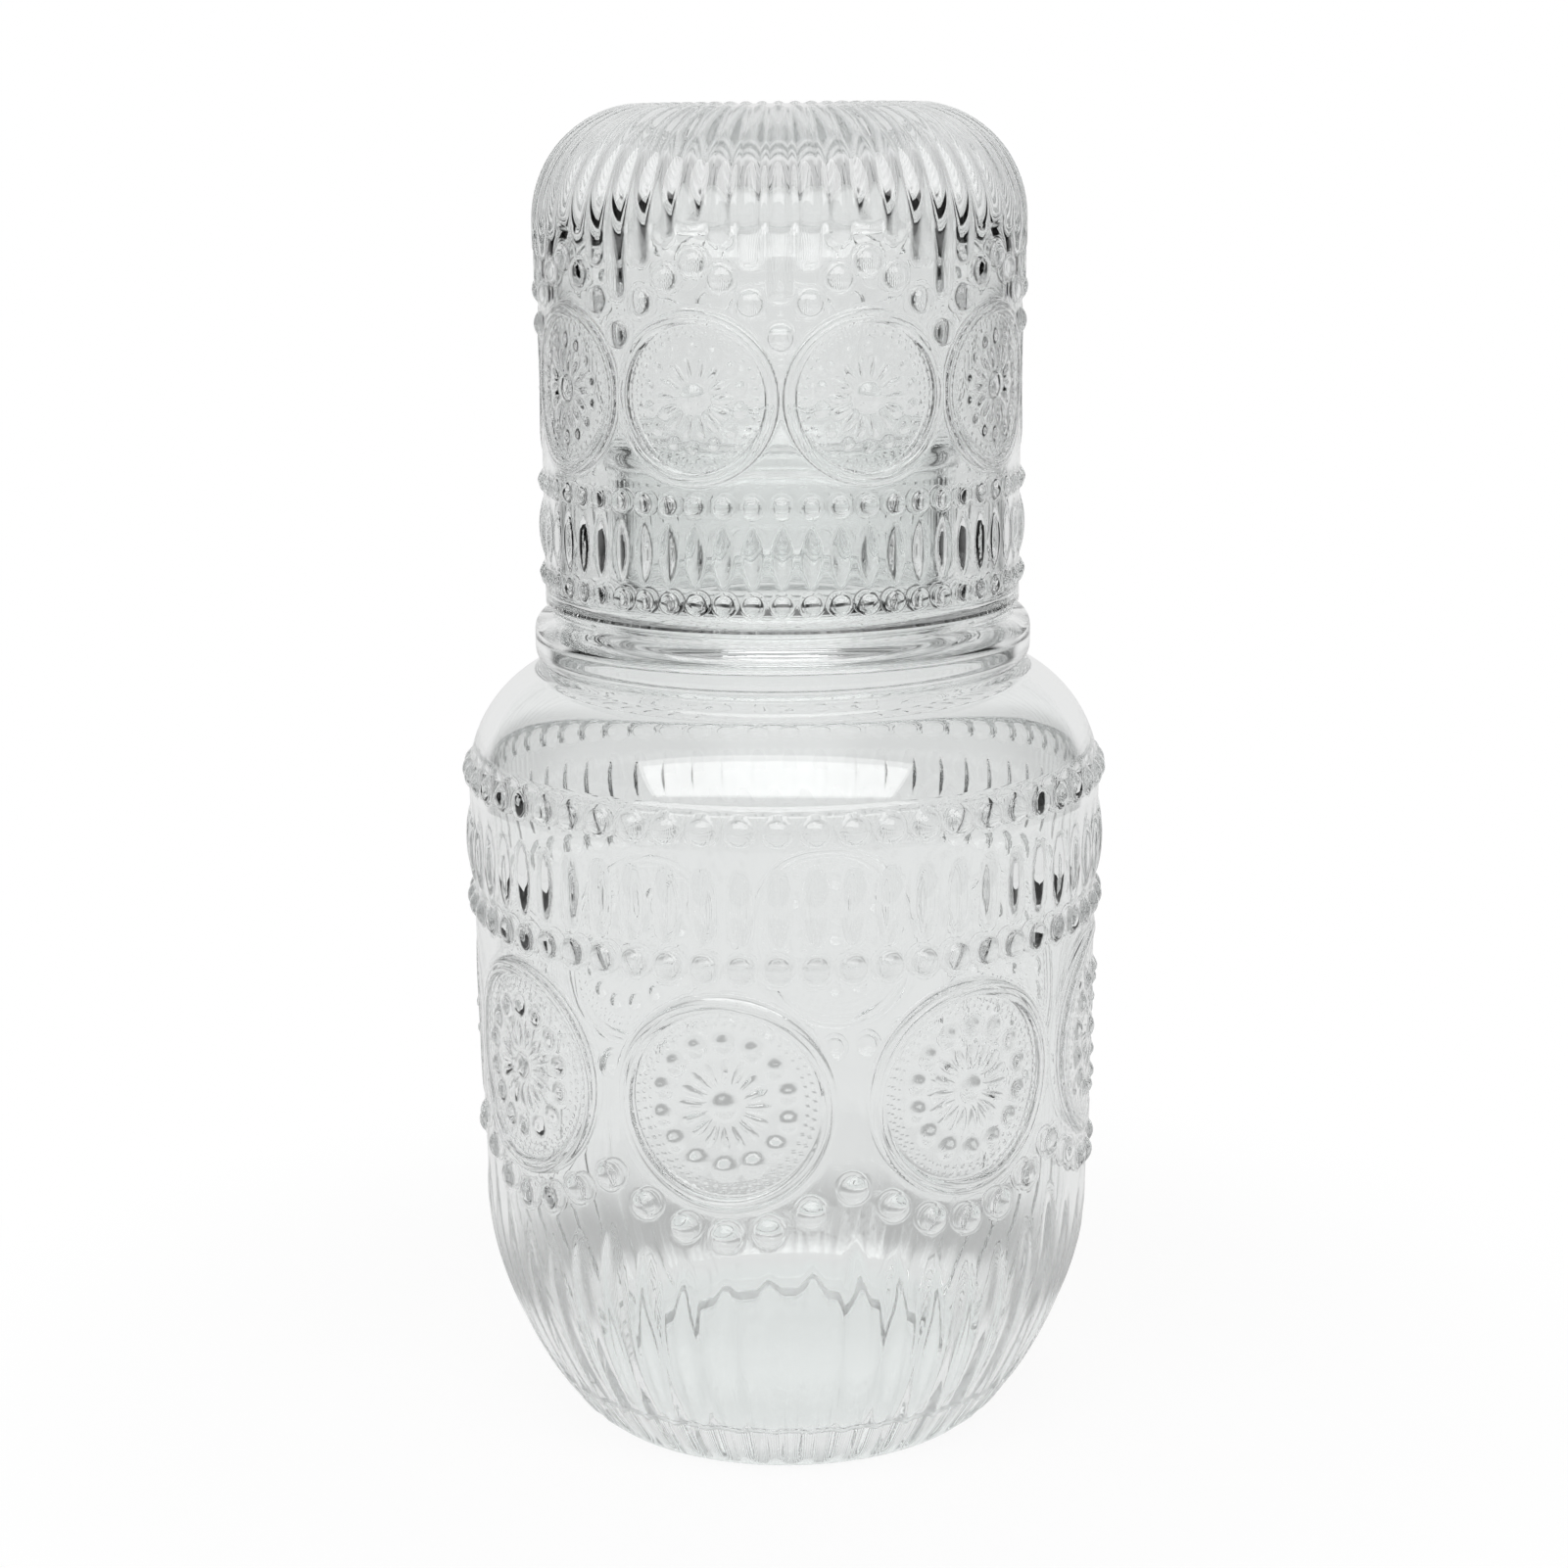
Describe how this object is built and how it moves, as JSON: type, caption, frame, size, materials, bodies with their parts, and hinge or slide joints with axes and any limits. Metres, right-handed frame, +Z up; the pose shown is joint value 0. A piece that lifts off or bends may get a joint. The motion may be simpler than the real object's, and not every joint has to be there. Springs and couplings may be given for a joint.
{
  "type": "bedside carafe with tumbler",
  "caption": "Pressed clear glass bedside carafe with a beaded and medallioned wall, closed by its own upturned tumbler resting on the neck collar.",
  "frame": {"origin": "centre of the carafe's foot, on the surface that it stands on", "axes": "+Z up along the axis of both pieces, -Y towards the viewer"},
  "size_m": [0.1082, 0.1082, 0.2205],
  "materials": {
    "carafe_glass": "clear pressed glass, fire polished",
    "tumbler_glass": "clear pressed glass, fire polished"
  },
  "bodies": {
    "carafe": {"carafe": "carafe_glass"},
    "tumbler": {"tumbler": "tumbler_glass"}
  },
  "joints": [
    {"name": "tumbler_lift", "type": "slide", "parent": "carafe", "child": "tumbler", "axis": [0, 0, 1], "range_m": [0, 0.12]}
  ]
}
